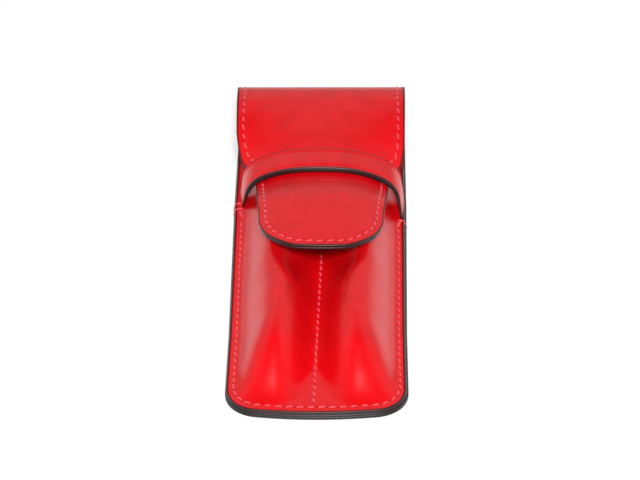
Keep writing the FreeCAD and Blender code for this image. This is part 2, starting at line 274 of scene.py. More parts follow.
def arc_through(start, middle, end):
    """Points on the arc through three points."""
    (ax, ay), (bx, by), (cx, cy) = start, middle, end
    d = 2 * (ax * (by - cy) + bx * (cy - ay) + cx * (ay - by))
    sa, sb, sc = ax * ax + ay * ay, bx * bx + by * by, cx * cx + cy * cy
    mx = (sa * (by - cy) + sb * (cy - ay) + sc * (ay - by)) / d
    my = (sa * (cx - bx) + sb * (ax - cx) + sc * (bx - ax)) / d
    radius = math.hypot(ax - mx, ay - my)
    return arc((mx, my), radius, math.atan2(ay - my, ax - mx), math.atan2(cy - my, cx - mx))


def flap_half(side):
    """Half of the flap's plan outline: the long side, then the half of the rounded tip."""
    def at(x, y):
        shift = TONGUE_X * min(1.0, max(0.0, (SHOULDER_HIGH - y) / (SHOULDER_HIGH - SHOULDER_LOW)))
        return side * x + shift, y

    heights = np.linspace(SHOULDER_HIGH, SHOULDER_LOW, 50)
    shoulder = [at(float(shoulder_half_width(y)), y) for y in heights]
    turn = arc_through(*TONGUE_TURN)
    half = len(turn) // 2
    long_side = [(side * HALF_W, FLAP_Y)] + shoulder + [at(23.2, 112), at(22.5, 100)]
    long_side += [at(*p) for p in turn[:half + 1]]
    tip = [at(*p) for p in turn[half:]]
    tip += [at(x, TONGUE_TIP + 0.5 * (x / 9) ** 2) for x in (6, 3, 0)]
    return np.array(long_side), np.array(tip)


def moved_in(line, inset):
    """A line going anticlockwise round the leather, moved to its left by inset."""
    line = resample(line, 500)
    along = unit(np.gradient(line, axis=0))
    return line + inset * np.stack([-along[:, 1], along[:, 0]], axis=1)


def flap_outline(inset):
    """Flap outline moved in, from the left end of the fold, round the tip, to the right end."""
    left_side, left_tip = flap_half(-1)
    right_side, right_tip = flap_half(1)
    right = [right_tip[::-1], right_side[::-1][1:]]
    return moved_in(np.concatenate([left_side, left_tip[1:-1]] + right), inset)


# ---------------------------------------------------------------- surfaces

def flap_z(x, y):
    return flap_middle(y) - flap_fall(y) * (np.abs(x) / CROWN_HALF) ** CROWN_POWER


def seam_shift(y):
    """The middle seam leans: it is right of the middle under the tongue and left of it below."""
    return np.interp(y, [5, 86, 143], [-1.0, 0.7, 0.9])


def tube_z(x, y, depth):
    """Height of the moulded front's skin at a depth, before it is softened."""
    radius = CORNER_R - SEAM_INSET - TUBE_SEAM_GAP
    below = np.clip(CORNER_Y - y, 0, None)
    corner = CORNER_X + np.sqrt(np.maximum(radius ** 2 - below ** 2, 4))
    outer = np.minimum(TUBE_OUTER, corner) - depth
    inner = valley_foot(y) + depth
    r = np.abs(x - seam_shift(y) * np.clip(1 - np.abs(x) / TUBE_OUTER, 0, 1))
    crest = tube_crest(y)
    valley = 1 - np.clip((crest - r) / (crest - inner), 0, 1) ** valley_bulge(y)
    roundness = np.interp(y, [14, 40], [2.1, 1.7])
    flank = 1 - np.clip((r - crest) / (outer - crest), 0, 1) ** roundness
    return SEAM_Z - depth + tube_height(y) * np.where(r < crest, valley, flank)


def soften(z, sigma):
    """Gaussian blur of a height field, sigma in cells."""
    reach = int(3 * sigma) + 1
    kernel = np.exp(-0.5 * (np.arange(-reach, reach + 1) / sigma) ** 2)
    kernel /= kernel.sum()
    for axis in (0, 1):
        padded = np.pad(z, [(reach, reach) if k == axis else (0, 0) for k in (0, 1)], mode="edge")
        z = np.apply_along_axis(lambda row: np.convolve(row, kernel, mode="valid"), axis, padded)
    return z


SOFTNESS = 1.25         # sigma of the blur that softens the moulded front
FIELD_STEP = 0.25
FIELD_X = np.arange(-33, 33.01, FIELD_STEP)
FIELD_Y = np.arange(-4, 151.01, FIELD_STEP)


def front_field(depth):
    """Heights of the front's skin at a depth, on the grid of FIELD_X and FIELD_Y."""
    x, y = np.meshgrid(FIELD_X, FIELD_Y)
    return soften(tube_z(x, y, depth), SOFTNESS / FIELD_STEP)


def sample(field, x, y):
    """Value of a field between its cells."""
    fx = np.clip((np.asarray(x, float) - FIELD_X[0]) / FIELD_STEP, 0, len(FIELD_X) - 1.001)
    fy = np.clip((np.asarray(y, float) - FIELD_Y[0]) / FIELD_STEP, 0, len(FIELD_Y) - 1.001)
    i, j = fx.astype(int), fy.astype(int)
    s, t = fx - i, fy - j
    return ((1 - t) * ((1 - s) * field[j, i] + s * field[j, i + 1])
            + t * ((1 - s) * field[j + 1, i] + s * field[j + 1, i + 1]))


OUTER_FIELD = front_field(0)


def sway(points, size, amount, seed):
    """Slow unevenness of hand-shaped leather, one value for each point."""
    flat = points.reshape(-1, points.shape[-1])
    out = [noise.noise(Vector((p[0] / size, p[1] / size, seed))) for p in flat]
    return amount * np.array(out).reshape(points.shape[:-1])


# ---------------------------------------------------------------- meshes

def grid_normals(p):
    """Normals of a grid of points."""
    du = np.gradient(p, axis=1)
    dv = np.gradient(p, axis=0)
    return unit(np.cross(dv, du))


def make_object(name, verts, faces, materials, face_slots, uvs, marks=None):
    """Smooth mesh with flat UVs on the hide and, if given, named values at its points."""
    mesh = bpy.data.meshes.new(name)
    mesh.from_pydata((np.asarray(verts) * MM).tolist(), [], faces)
    for material in materials:
        mesh.materials.append(material)
    mesh.polygons.foreach_set("material_index", face_slots)
    mesh.polygons.foreach_set("use_smooth", [True] * len(mesh.polygons))
    layer = mesh.uv_layers.new(name="hide")
    loops = np.zeros(len(mesh.loops), dtype=np.int64)
    mesh.loops.foreach_get("vertex_index", loops)
    layer.data.foreach_set("uv", np.asarray(uvs, np.float32)[loops].ravel())
    for key, values in (marks or {}).items():
        attribute = mesh.attributes.new(key, "FLOAT", "POINT")
        attribute.data.foreach_set("value", np.asarray(values, np.float32))
    mesh.update()
    obj = bpy.data.objects.new(name, mesh)
    bpy.context.scene.collection.objects.link(obj)
    return obj


def rim_chain(rows, cols, open_top):
    """Grid places round the edge, from the top left down, across the bottom and up the right."""
    chain = [(j, 0) for j in range(rows)]
    chain += [(rows - 1, i) for i in range(1, cols)]
    chain += [(j, cols - 1) for j in range(rows - 2, -1, -1)]
    if not open_top:
        chain += [(0, i) for i in range(cols - 2, 0, -1)]
    return chain


# Rounded cut edge: share of the way through the leather, share of how far it stands out
RIM_SHAPE = [(0.03, 0.42), (0.14, 0.8), (0.32, 0.97), (0.5, 1.0),
             (0.68, 0.97), (0.86, 0.8), (0.97, 0.42)]


def edge_distance(outer, open_top):
    """How far each grid point is from the cut edge."""
    sides = [outer[:, :1], outer[:, -1:], outer[-1:]] + ([] if open_top else [outer[:1]])
    return np.min([np.linalg.norm(outer - side, axis=2) for side in sides], axis=0)


def shell(name, outer, inner, materials, bulge, run, open_top=False):
    """Leather layer from two grids of points: two skins and a rounded cut edge round them.

    materials are the outer skin's, the inner skin's and the cut edge's. bulge is how far the edge
    stands out. run is the distance along the leather for each grid point, so that its grain isn't
    stretched."""
    rows, cols = outer.shape[:2]
    normals = grid_normals(outer)
    count = rows * cols
    index = np.arange(count).reshape(rows, cols)
    verts = [outer.reshape(-1, 3), inner.reshape(-1, 3)]
    # The inner skin and the edge take other places on the hide, so that no marks line up.
    uv_grid = np.stack([outer[..., 0], run], axis=2) / 100
    uvs = [uv_grid.reshape(-1, 2), uv_grid.reshape(-1, 2) + 0.37]
    a, b = index[:-1, :-1].ravel(), index[:-1, 1:].ravel()
    c, d = index[1:, 1:].ravel(), index[1:, :-1].ravel()
    faces = np.stack([a, b, c, d], axis=1).tolist()
    faces += (np.stack([d, c, b, a], axis=1) + count).tolist()
    slots = [0] * (len(faces) // 2) + [1] * (len(faces) // 2)
    chain = rim_chain(rows, cols, open_top)
    top = np.array([outer[j, i] for j, i in chain])
    low = np.array([inner[j, i] for j, i in chain])
    up = np.array([normals[j, i] for j, i in chain])
    if open_top:
        along = np.gradient(top, axis=0)
    else:
        along = np.roll(top, -1, axis=0) - np.roll(top, 1, axis=0)
    outward = unit(np.cross(along, up))
    center = outer.reshape(-1, 3).mean(axis=0)
    if np.sum(outward * (top - center)) < 0:
        outward = -outward
    loops = [[int(index[j, i]) for j, i in chain]]
    ring_uv = np.array([uv_grid[j, i] for j, i in chain])
    for k, (share, out) in enumerate(RIM_SHAPE):
        first = 2 * count + k * len(chain)
        loops.append(list(range(first, first + len(chain))))
        verts.append(top + share * (low - top) + out * bulge * outward)
        uvs.append(ring_uv + 0.11 * share)
    loops.append([int(index[j, i]) + count for j, i in chain])
    steps = len(chain) - 1 if open_top else len(chain)
    for k, (one, two) in enumerate(zip(loops, loops[1:])):
        for s in range(steps):
            n = (s + 1) % len(chain)
            faces.append([one[s], two[s], two[n], one[n]])
            slots.append(0 if k == 0 else 2)
    verts = np.concatenate(verts)
    edge = np.zeros(len(verts))
    edge[:2 * count] = np.tile(edge_distance(outer, open_top).ravel(), 2)
    obj = make_object(name, verts, faces, materials, slots, np.concatenate(uvs), {"edge": edge})
    fix_winding(obj, normals[rows // 2, cols // 2], (rows // 2 - 1) * (cols - 1) + cols // 2)
    return obj


def fix_winding(obj, wanted, face):
    """Turns all faces round if the outer skin's faces look inwards."""
    if obj.data.polygons[face].normal.dot(Vector(wanted)) < 0:
        obj.data.flip_normals()


# ---------------------------------------------------------------- materials

class Nodes:
    """Small helper that builds a node material."""

    def __init__(self, name):
        self.material = bpy.data.materials.new(name)
        self.material.use_nodes = True
        self.tree = self.material.node_tree
        self.shader = next(n for n in self.tree.nodes if n.type == "BSDF_PRINCIPLED")

    def add(self, kind, inputs=None, **settings):
        node = self.tree.nodes.new(kind)
        for key, value in settings.items():
            setattr(node, key, value)
        for key, value in (inputs or {}).items():
            if isinstance(value, bpy.types.NodeSocket):
                self.tree.links.new(value, node.inputs[key])
            else:
                node.inputs[key].default_value = value
        return node

    def set(self, **values):
        for key, value in values.items():
            socket = self.shader.inputs[key.replace("_", " ")]
            if isinstance(value, bpy.types.NodeSocket):
                self.tree.links.new(value, socket)
            else:
                socket.default_value = value

    def uv(self, scale):
        place = self.add("ShaderNodeUVMap", uv_map="hide").outputs[0]
        return self.add("ShaderNodeMapping", {"Vector": place, "Scale": (scale,) * 3}).outputs[0]

    def noise(self, scale, detail=3.0, rough=0.5):
        return self.add("ShaderNodeTexNoise", {
            "Vector": self.uv(scale), "Scale": 1.0, "Detail": detail,
            "Roughness": rough}).outputs["Fac"]

    def cells(self, scale):
        return self.add("ShaderNodeTexVoronoi", {"Vector": self.uv(scale), "Scale": 1.0},
                        feature="DISTANCE_TO_EDGE").outputs["Distance"]

    def ramp(self, value, stops):
        node = self.add("ShaderNodeValToRGB", {"Fac": value})
        node.color_ramp.elements.remove(node.color_ramp.elements[0])
        for i, (place, color) in enumerate(stops):
            element = node.color_ramp.elements[0] if i == 0 else node.color_ramp.elements.new(place)
            element.position = place
            element.color = (*color, 1)
        return node.outputs["Color"]

    def spread(self, value, low, high):
        return self.add("ShaderNodeMapRange", {
            "Value": value, "To Min": low, "To Max": high}).outputs[0]

    def by_edge(self, stops):
        """Colours by the distance from the cut edge, 0 to 3 mm, made uneven by noise."""
        unevenness = 0.35
        away = self.add("ShaderNodeAttribute", attribute_name="edge").outputs["Fac"]
        shift = self.spread(self.noise(120, 4.0, 0.7), -unevenness, unevenness)
        total = self.math("ADD", away, shift)
        return self.ramp(self.math("DIVIDE", total, 3.0), stops)

    def math(self, operation, one, two):
        return self.add("ShaderNodeMath", {0: one, 1: two}, operation=operation).outputs[0]

    def multiply(self, one, two):
        return self.add("ShaderNodeMix", {0: 1.0, 6: one, 7: two},
                        data_type="RGBA", blend_type="MULTIPLY").outputs[2]

    def bump(self, height, strength, distance, below=None):
        inputs = {"Height": height, "Strength": strength, "Distance": distance * MM}
        if below is not None:
            inputs["Normal"] = below
        return self.add("ShaderNodeBump", inputs).outputs[0]


def red_leather():
    """Smooth, polished red calf: fine pores, faint creases, slow changes of tone. Near the cut edge
    the
    red is darker: painted shade of the rounded shoulder, together with dye crept over its rim. The
    polish is rubbed a little along the edge."""
    m = Nodes("red_leather")
    tone = m.ramp(m.noise(14, 4.0), [
        (0.3, (0.72, 0.0012, 0.004)), (0.5, (0.79, 0.0018, 0.006)), (0.72, (0.84, 0.003, 0.009))])
    # darker red within about 0.7 mm of the cut edge: painted shade of the rounded shoulder,
    # together with edge dye crept over the rim
    shoulder_shade_and_dye = m.by_edge([(0.0, (0.22, 0.3, 0.3)), (0.12, (0.55, 0.6, 0.6)), (0.24, (1, 1, 1))])
    tone = m.multiply(tone, shoulder_shade_and_dye)
    pores = m.cells(330)
    grain = m.noise(900, 2.0)
    normal = m.bump(m.ramp(pores, [(0.0, (0, 0, 0)), (0.22, (1, 1, 1))]), 0.10, 0.012)
    normal = m.bump(grain, 0.12, 0.01, normal)
    normal = m.bump(m.noise(45, 3.0), 0.25, 0.05, normal)
    rubbed = m.by_edge([(0.0, (0.22,) * 3), (0.35, (0.03,) * 3), (0.8, (0, 0, 0))])
    roughness = m.math("ADD", m.spread(m.noise(60, 5.0), 0.25, 0.36), rubbed)
    m.set(Base_Color=tone, Roughness=roughness, Normal=normal, IOR=1.42)
    return m.material


def edge_dye():
    """Cut edge, dyed dark and burnished, with the layers' grain running round it."""
    m = Nodes("edge_dye")
    tone = m.ramp(m.noise(70, 5.0, 0.65), [
        (0.25, (0.004, 0.003, 0.0035)), (0.5, (0.011, 0.007, 0.008)), (0.8, (0.045, 0.022, 0.024))])
    normal = m.bump(m.noise(260, 4.0), 0.35, 0.05)
    m.set(Base_Color=tone, Roughness=m.spread(m.noise(120, 3.0), 0.30, 0.5), Normal=normal)
    m.set(IOR=1.42, Coat_Weight=0.2, Coat_Roughness=0.25)
    return m.material


def lining_leather():
    """Matte, finely napped lining."""
    m = Nodes("lining_leather")
    tone = m.ramp(m.noise(35, 5.0, 0.6), [
        (0.3, (0.30, 0.030, 0.028)), (0.55, (0.38, 0.042, 0.038)), (0.8, (0.45, 0.06, 0.052))])
    normal = m.bump(m.noise(700, 4.0, 0.7), 0.5, 0.04)
    m.set(Base_Color=tone, Roughness=m.spread(m.noise(90, 3.0), 0.72, 0.88), Normal=normal)
    m.set(Sheen_Weight=0.25, Sheen_Roughness=0.45, Sheen_Tint=(0.9, 0.45, 0.42, 1))
    m.set(Specular_IOR_Level=0.3)
    return m.material


def flesh_side():
    """Unfinished inner face of the thick strap leather: greyish pink fibres."""
    m = Nodes("flesh_side")
    tone = m.ramp(m.noise(60, 6.0, 0.7), [
        (0.3, (0.26, 0.11, 0.11)), (0.55, (0.38, 0.18, 0.175)), (0.8, (0.50, 0.28, 0.26))])
    normal = m.bump(m.noise(400, 5.0, 0.75), 0.7, 0.08)
    m.set(Base_Color=tone, Roughness=0.92, Normal=normal)
    m.set(Sheen_Weight=0.2, Sheen_Roughness=0.5, Specular_IOR_Level=0.2)
    return m.material


def thread_material():
    """Waxed two-ply thread, a lighter and pinker red than the leather."""
    m = Nodes("sewing_thread")
    tone = m.ramp(m.noise(300, 3.0), [(0.3, (0.80, 0.055, 0.085)), (0.7, (0.90, 0.115, 0.16))])
    normal = m.bump(m.noise(2500, 3.0), 0.5, 0.02)
    m.set(Base_Color=tone, Roughness=0.55, Normal=normal)
    m.set(Sheen_Weight=0.3, Sheen_Roughness=0.4)
    return m.material


def hole_shade_material():
    """Inside of a needle hole: a dark red that is painted shade in the hole."""
    m = Nodes("needle_hole_shade")
    tone = m.ramp(m.noise(200, 2.0), [(0.2, (0.20, 0.001, 0.002)), (0.8, (0.34, 0.002, 0.004))])
    m.set(Base_Color=tone, Roughness=0.8)
    return m.material


RED = red_leather()
DYE = edge_dye()
LINING = lining_leather()
FLESH = flesh_side()
THREAD = thread_material()
HOLE_SHADE = hole_shade_material()


# ---------------------------------------------------------------- seams

def surface_normals(height, x, y):
    """Normals of the surface z = height(x, y)."""
    e = 0.2
    dx = (height(x + e, y) - height(x - e, y)) / (2 * e)
    dy = (height(x, y + e) - height(x, y - e)) / (2 * e)
    return unit(np.stack([-dx, -dy, np.ones_like(dx)], axis=1))


def on_height(plan, height):
    """Points and normals of plan points on a surface given by its height."""
    x, y = plan[:, 0], plan[:, 1]
    return np.stack([x, to_y(y), height(x, y)], axis=1), surface_normals(height, x, y)


def holes_along(line):
    """Needle holes at even steps along a line."""
    return resample(line, max(1, round(run_along(line)[-1] / PITCH)))


def fold_point(angle):
    """Distance from bottom and height of the strip's outer surface at an angle round the fold.
    0 is where it leaves the back, 90 degrees its crest and 180 where the flap starts."""
    if angle < math.pi / 2:
        return FOLD_Y + FOLD_OUT * math.sin(angle), FOLD_R - FOLD_R * math.cos(angle)
    out, up = abs(math.sin(angle)), abs(math.cos(angle))
    return FLAP_Y + FLAP_OUT * out ** FOLD_FULLNESS, FOLD_R + FLAP_UP * up ** FOLD_FULLNESS


def fold_normal(angle):
    """The strip's outward normal there."""
    low, high = max(angle - 0.01, 0.0), min(angle + 0.01, math.pi)
    (y0, z0), (y1, z1) = fold_point(low), fold_point(high)
    return unit(np.array([0, z1 - z0, y0 - y1]))


def strip_side(x, start, end, inner=False):
    """Needle holes on the strip's side seam over the fold, between two angles."""
    angles = np.linspace(start, end, 200)
    run = run_along([fold_point(a) for a in angles])
    at = np.linspace(0, run[-1], max(1, round(run[-1] / PITCH)) + 1)
    points, normals = [], []
    for angle in np.interp(at, run, angles):
        y, z = fold_point(angle)
        normal = fold_normal(angle)
        points.append(np.array([x, to_y(y), z]) - (BACK_T * normal if inner else 0))
        normals.append(-normal if inner else normal)
    if x < 0:
        points, normals = points[::-1], normals[::-1]
    return np.array(points), np.array(normals)


def strand(verts, faces, path, ups, radii, twist):
    """Sweeps a two-ply thread along a path: its section has two lobes that turn along it."""
    around = 8
    along = unit(np.gradient(path, axis=0))
    first = len(verts)
    for i, (point, up, ahead, radius) in enumerate(zip(path, ups, along, radii)):
        across = unit(np.cross(up, ahead))
        over = np.cross(ahead, across)
        for j in range(around):
            a = 2 * math.pi * j / around
            lobe = 1 + 0.13 * math.cos(2 * (a - twist * i / len(path)))
            verts.append(point + radius * lobe * (across * math.cos(a) + over * math.sin(a) * 0.9))
    rings = len(path) - 1
    for i in range(rings):
        for j in range(around):
            n = (j + 1) % around
            a, b = first + i * around, first + (i + 1) * around
            faces.append([a + j, a + n, b + n, b + j])
    faces.append([first + j for j in range(around)][::-1])
    faces.append([first + rings * around + j for j in range(around)])


def add_stitch(verts, faces, start, end, up, share, sunk, slant):
    """A stitch rises out of one needle hole, lies on the leather and dives into the next."""
    ahead = end - start
    size = np.linalg.norm(ahead)
    ahead /= size
    up = unit(up - ahead * np.dot(up, ahead))
    side = np.cross(up, ahead)
    ahead = ahead * math.cos(slant) + side * math.sin(slant)
    middle = (start + end) / 2 + side * random.uniform(-0.04, 0.04)
    t = np.linspace(0, 1, 11)[:, None]
    rise = np.sin(math.pi * t) ** 0.55
    lift = THREAD_R * (1.5 * rise - 0.75) - sunk
    path = middle + ahead * size * share / 2 * (2 * t - 1) + up * lift
    strand(verts, faces, path, [up] * len(t), THREAD_R * (0.72 + 0.28 * rise[:, 0]), twist=5.0)


def stitch_rows(name, rows, sunk, extra=()):
    """Rows of stitches with their needle holes, and extra strands given by path and thickness."""
    verts, faces = [], []
    for points, normals in rows:
        for k in range(len(points) - 1):
            share = STITCH_SHARE * random.uniform(0.95, 1.05)
            slant = math.radians(random.uniform(8, 15))
            add_stitch(verts, faces, points[k], points[k + 1], normals[k] + normals[k + 1],
                       share, sunk, slant)
    for path, radius in extra:
        path = resample(path, 16)
        middle = np.array([0, path[:, 1].mean(), SEAM_Z / 2])
        strand(verts, faces, path, unit(path - middle), np.full(len(path), radius), twist=9.0)
    slots = [0] * len(faces)
    # each needle hole is a small sunk cone coloured with painted shade
    for points, normals in rows:
        for k, (point, up) in enumerate(zip(points, normals)):
            ahead = unit(points[min(k + 1, len(points) - 1)] - points[max(k - 1, 0)])
            side = np.cross(up, ahead)
            first = len(verts)
            verts.append(point - up * (0.05 + sunk))
            for j in range(HOLE_SIDES):
                a = 2 * math.pi * j / HOLE_SIDES
                reach = ahead * HOLE_LONG * math.cos(a) + side * HOLE_WIDE * math.sin(a)
                verts.append(point + reach + up * (0.035 - sunk))
                faces.append([first, first + 1 + j, first + 1 + (j + 1) % HOLE_SIDES])
                slots.append(1)
    verts = np.array(verts)
    uvs = (verts[:, :2] + verts[:, 2:]) / 100
    return make_object(name, verts, faces, [THREAD, HOLE_SHADE], slots, uvs)


def groove(points, normals, path, depth, width):
    """Sinks a surface a little along a seam."""
    tree = kdtree.KDTree(len(path))
    for i, p in enumerate(path):
        tree.insert(p, i)
    tree.balance()
    shape = points.shape
    flat = points.reshape(-1, 3)
    near = np.array([tree.find(p)[2] for p in flat]).reshape(shape[:2])
    return points - (depth * np.exp(-(near / width) ** 2))[..., None] * normals


def dense(rows):
    """Closely spaced points along seam rows."""
    return np.concatenate([resample(p, len(p) * 8) for p, _ in rows])


# ---------------------------------------------------------------- seam places

def case_seam(top):
    """Plan line of the seam round the pockets, from the top left round to the top right."""
    side, bottom = case_half(SEAM_INSET, top)
    right = side + bottom[1:]
    return np.array(mirrored(right) + right[::-1][1:])


def front_height(x, y):
    return sample(OUTER_FIELD, x, y)


def flat_height(z):
    return lambda x, y: np.full(np.shape(x), z)


front_seam = [on_height(holes_along(case_seam(MOUTH - 1)), flat_height(SEAM_Z))]
middle_line = np.array([(float(seam_shift(y)), y) for y in np.linspace(MOUTH - 3, 5, 60)])
middle_seam = [on_height(holes_along(middle_line), front_height)]
back_line = holes_along(case_seam(FOLD_Y))
back_points, back_normals = on_height(back_line, flat_height(0.0))
back_middle_points, back_middle_normals = on_height(holes_along(middle_line), flat_height(0.0))
back_seam = [(back_points, -back_normals), (back_middle_points, -back_middle_normals)]
SIDES = (-HALF_W + SEAM_INSET, HALF_W - SEAM_INSET)
QUARTER = math.pi / 2
lower_fold_seam = [strip_side(x, 0.0, QUARTER) for x in SIDES]
lower_inner_seam = [strip_side(x, 0.15, QUARTER, inner=True) for x in SIDES]
for x in SIDES:
    plan = holes_along(np.array([(x, MOUTH + 5.4), (x, FOLD_Y + 1.0)]))
    points, normals = on_height(plan, flat_height(BACK_T))
    lower_inner_seam.append((points, normals))
upper_fold_seam = [strip_side(x, QUARTER, 2 * QUARTER) for x in SIDES]
upper_inner_seam = [strip_side(x, QUARTER, 2 * QUARTER, inner=True) for x in SIDES]
flap_points, flap_normals = on_height(holes_along(flap_outline(FLAP_INSET)), flap_z)
flap_seam = [(flap_points, flap_normals)]
flap_inner_seam = [(flap_points - BACK_T * flap_normals, -flap_normals)]


# ---------------------------------------------------------------- back and lower half of the fold

def fold_rows(x, angles):
    """Rows of points round the fold, one for each angle, with the run along them."""
    rows, runs = [], []
    for angle in np.radians(angles):
        y, z = fold_point(angle)
        rows.append(np.stack([x, np.full(len(x), to_y(y)), np.full(len(x), z)], axis=1))
        runs.append(np.full(len(x), FOLD_Y + FOLD_R * angle))
    return rows, runs


def lower_strip(spacing):
    """Outer points of the back and of the fold up to its crest line, with the run along them."""
    plan = case_patch(RIM, FOLD_Y, spacing)
    flat = np.stack([plan[..., 0], to_y(plan[..., 1]), np.zeros(plan.shape[:2])], axis=2)
    rows, runs = fold_rows(flat[0, :, 0], np.arange(90, 0, -1.5))
    return np.concatenate([rows, flat]), np.concatenate([runs, plan[..., 1]])


def layered(name, outer, run, facing, depth, thickness, materials, path=None):
    """A layer of the strip at a depth below its outer surface, sunk a little along a path. facing
    is 1 if the outer surface looks up at its last row, and -1 if it looks down."""
    normals = grid_normals(outer)
    if np.mean(normals[-1, :, 2]) * facing < 0:
        normals = -normals
    top = outer - depth * normals
    if path is not None:
        top = groove(top, normals, path, depth=0.12, width=0.75)
    bottom = outer - (depth + thickness) * normals
    return shell(name, top, bottom, materials, RIM, run, open_top=True)


outer, run = lower_strip(spacing=0.8)
back = layered("back_leather_skin", outer, run, -1, 0.0, OUTER_T, [RED, LINING, DYE],
               path=dense(back_seam + lower_fold_seam))
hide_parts("back_panel", "fold_leather")
back_liner = layered("back_lining_skin", outer, run, -1, OUTER_T, LINING_T, [LINING, LINING, DYE])
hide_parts("back_lining", "fold_lining")


# ---------------------------------------------------------------- flap and upper half of the fold

def upper_strip(spacing):
    """Outer points of the fold from its crest line and of the flap, with the run along them."""
    line = flap_outline(RIM)
    corners = [flap_half(side)[0][-1] for side in (-1, 1)]
    i, j = (int(np.argmin(np.linalg.norm(line - corner, axis=1))) for corner in corners)
    left, bottom, right = line[:i + 1], line[i:j + 1], line[j:][::-1]
    plan = patch(left, right, bottom, round(60 / spacing), round(90 / spacing))
    x, y = plan[..., 0], plan[..., 1]
    sheet = np.stack([x, to_y(y), flap_z(x, y)], axis=2)
    sheet[..., 2] += sway(sheet[..., :2], 22, 0.10, 4.0) * np.clip((154 - y) / 20, 0, 1)
    rows, runs = fold_rows(sheet[0, :, 0], np.arange(90, 179.9, 1.5))
    end_run = FOLD_Y + FOLD_R * math.pi
    return np.concatenate([rows, sheet]), np.concatenate([runs, end_run + FLAP_Y - y])


outer, run = upper_strip(spacing=0.7)
flap = layered("flap_leather_skin", outer, run, 1, 0.0, OUTER_T, [RED, LINING, DYE],
               path=dense(flap_seam + upper_fold_seam))
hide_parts("flap_leather")
flap_liner = layered("flap_lining_skin", outer, run, 1, OUTER_T, LINING_T, [LINING, LINING, DYE])
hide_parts("flap_lining")


# ---------------------------------------------------------------- front

def front_sheet(spacing, field, bevel):
    """Points of the front on a field of heights. The edge was trimmed at a slant: going up it leans
    in, most of all on the right. bevel is 0 at its foot and 1 at its top."""
    plan = case_patch(RIM, MOUTH_RIGHT, spacing, MOUTH_LEFT)
    x, y = plan[..., 0], plan[..., 1]
    right, left = np.clip((x - 21) / 9, 0, 1), np.clip((-x - 21) / 9, 0, 1)
    x = x - bevel * (LEAN_RIGHT * right - LEAN_LEFT * left)
    return np.stack([x, to_y(y), sample(field, x, y)], axis=2), y


outer, run = front_sheet(0.6, OUTER_FIELD, bevel=1.0)
raised = np.clip((outer[..., 2] - SEAM_Z) / 8, 0, 1)
outer[..., 2] += sway(outer[..., :2], 16, 0.22, 1.0) * raised
normals = grid_normals(outer)
if normals[..., 2].mean() < 0:
    normals = -normals
outer = groove(outer, normals, dense(front_seam), depth=0.16, width=0.8)
outer = groove(outer, normals, dense(middle_seam), depth=0.12, width=0.7)
inner, _ = front_sheet(0.6, front_field(FRONT_T), bevel=0.55)
front = shell("front_leather_skin", outer, inner, [RED, LINING, DYE], RIM, run)
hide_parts("front_panel")
outer, run = front_sheet(1.2, front_field(FRONT_T + 0.02), bevel=0.5)
inner, _ = front_sheet(1.2, front_field(FRONT_T + POCKET_LINING_T), bevel=0.35)
front_liner = shell("front_lining_skin", outer, inner, [LINING, LINING, DYE], RIM, run)
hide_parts("front_lining")


# ---------------------------------------------------------------- keeper strap

# Inside of the strap's legs, as (x, z)
STRAP_LEFT = [(-26.6, 3.35), (-26.45, 4.6), (-25.8, 9.0), (-25.0, 12.0), (-23.4, 14.9)]
STRAP_RIGHT = [(24.5, 14.8), (25.8, 12.95), (26.8, 11.0), (27.4, 8.25), (27.75, 5.5), (28.0, 3.35)]


def strap_line():
    """Inside of the strap from the left foot to the right foot, in the plane across the case."""
    over = [(x, float(flap_z(x, STRAP_MIDDLE)) + STRAP_GAP) for x in np.arange(-21, 21.1, 3.0)]
    line = np.array(STRAP_LEFT + over + STRAP_RIGHT)
    run = run_along(line)
    smooth = [curve_through(np.stack([run, line[:, k]], axis=1)) for k in (0, 1)]
    at = np.linspace(0, run[-1], 170)
    points = np.stack([f(at) for f in smooth], axis=1)
    for _ in range(12):
        points[1:-1] = (points[:-2] + 2 * points[1:-1] + points[2:]) / 4
    return points, at


def strap():
    """The band with a crease near each edge. Its feet are pared thin and skewed, and it is wider
    towards the fold, where the flap under it is wider."""
    inside, at = strap_line()
    along = unit(np.gradient(inside, axis=0))
    out = np.stack([-along[:, 1], along[:, 0]], axis=1)
    width = STRAP_HIGH - STRAP_LOW
    near = np.arange(-3, 4) * 0.18
    across = np.unique(np.concatenate([
        np.linspace(RIM, width - RIM, 26), CREASE_INSET + near, width - CREASE_INSET + near]))
    crease = sum(np.exp(-((across - place) / CREASE_WIDTH) ** 2)
                 for place in (CREASE_INSET, width - CREASE_INSET))
    x, z = inside.T
    # low goes from 0, 13 mm up a leg, to 1 at its foot
    low = np.clip((13 - z) / 9.7, 0, 1) ** 1.3
    share = across / width
    skew = np.where(x < 0, 4.8, -2.3) * low
    skew = skew[:, None] * (1 - share * np.where(x < 0, 1.0, 0.0)[:, None])
    flare = np.where(x < 0, -1.0, 0.6) * np.clip((np.abs(x) - 17) / 7, 0, 1)
    thick = STRAP_T * (0.45 + 0.55 * np.clip((z - 9) / 8, 0, 1))
    between = (across - CREASE_INSET) / (width - 2 * CREASE_INSET)
    lift = 0.14 * np.sin(np.pi * between).clip(0) - 0.2 * crease
    base = inside[:, None, :] + (thick[:, None] + lift[None, :])[..., None] * out[:, None, :]
    y = to_y(STRAP_LOW) + across[None, :] + skew
    sideways = flare[:, None] * share[None, :]
    outer = np.stack([base[..., 0] + sideways, y, base[..., 1]], axis=2)
    inner = np.stack([x[:, None] + sideways, y, np.broadcast_to(z[:, None], y.shape)], axis=2)
    run = np.repeat(at[:, None], len(across), axis=1)
    return shell("strap_band", outer, inner, [RED, FLESH, DYE], 0.3, run)


band = strap()
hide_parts("keeper_strap")


# ---------------------------------------------------------------- threads

